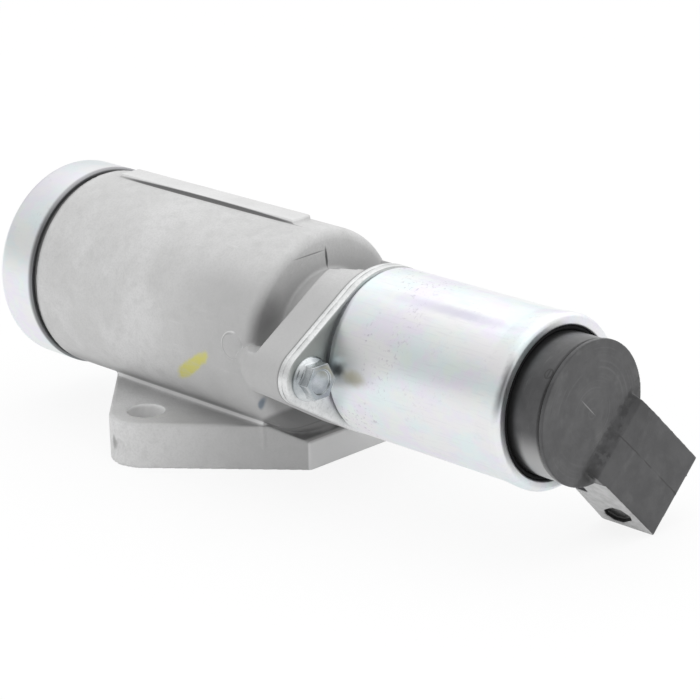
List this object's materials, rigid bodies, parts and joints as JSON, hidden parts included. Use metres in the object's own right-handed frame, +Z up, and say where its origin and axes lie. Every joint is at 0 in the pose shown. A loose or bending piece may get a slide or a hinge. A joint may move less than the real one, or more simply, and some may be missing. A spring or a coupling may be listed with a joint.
{
  "type": "idle air control valve",
  "caption": "Solenoid idle air control valve: round cast air chamber on an oblique bolt-down base, steel solenoid can and a right-angle plug connector.",
  "frame": {"origin": "on the base's mounting face, midway between the two bolt holes and straight below the valve's axis", "axes": "+X along the valve's axis towards the connector, +Z up from the mounting face"},
  "size_m": [0.1792, 0.0707, 0.0589],
  "materials": {
    "cast_aluminium": "die-cast, matt",
    "zinc_steel": "bright zinc plated",
    "bright_steel": "stamped, zinc plated",
    "screw_zinc": "zinc plated",
    "plug_plastic": "moulded, fine grain",
    "bobbin_plastic": "moulded",
    "black_rubber": "smooth",
    "grey_foam": "open foam",
    "plain_steel": "plain",
    "turned_aluminium": "turned",
    "soft_iron": "turned",
    "brass_parts": "turned",
    "tinned_brass": "tinned",
    "copper_wire": "enamelled copper"
  },
  "bodies": {
    "valve_body": {"housing_casting": "cast_aluminium", "end_cap": "zinc_steel", "cap_seal": "black_rubber", "silencer_foam": "grey_foam", "silencer_screen": "plain_steel", "valve_seat": "brass_parts", "flange_seal": "black_rubber", "flange_plate": "bright_steel", "flange_screws": "screw_zinc", "solenoid_can": "zinc_steel", "front_pole": "soft_iron", "stem_bush": "brass_parts", "guide_tube": "brass_parts", "rear_pole": "soft_iron", "spring_adjuster": "plain_steel", "rear_plate": "soft_iron", "return_spring": "plain_steel", "bobbin": "bobbin_plastic", "coil_winding": "copper_wire", "plug_body": "plug_plastic", "terminal_pins": "tinned_brass", "plug_seal": "black_rubber"},
    "armature_group": {"armature": "soft_iron", "valve_stem": "plain_steel", "valve_head": "turned_aluminium", "valve_seal": "black_rubber", "stem_clip": "plain_steel"}
  },
  "joints": [
    {"name": "armature_slide", "type": "slide", "parent": "valve_body", "child": "armature_group", "axis": [1, 0, 0], "range_m": [0, 0.004], "stiffness_N_per_m": 900, "springref_m": -0.004, "deforming": ["return_spring"]}
  ]
}
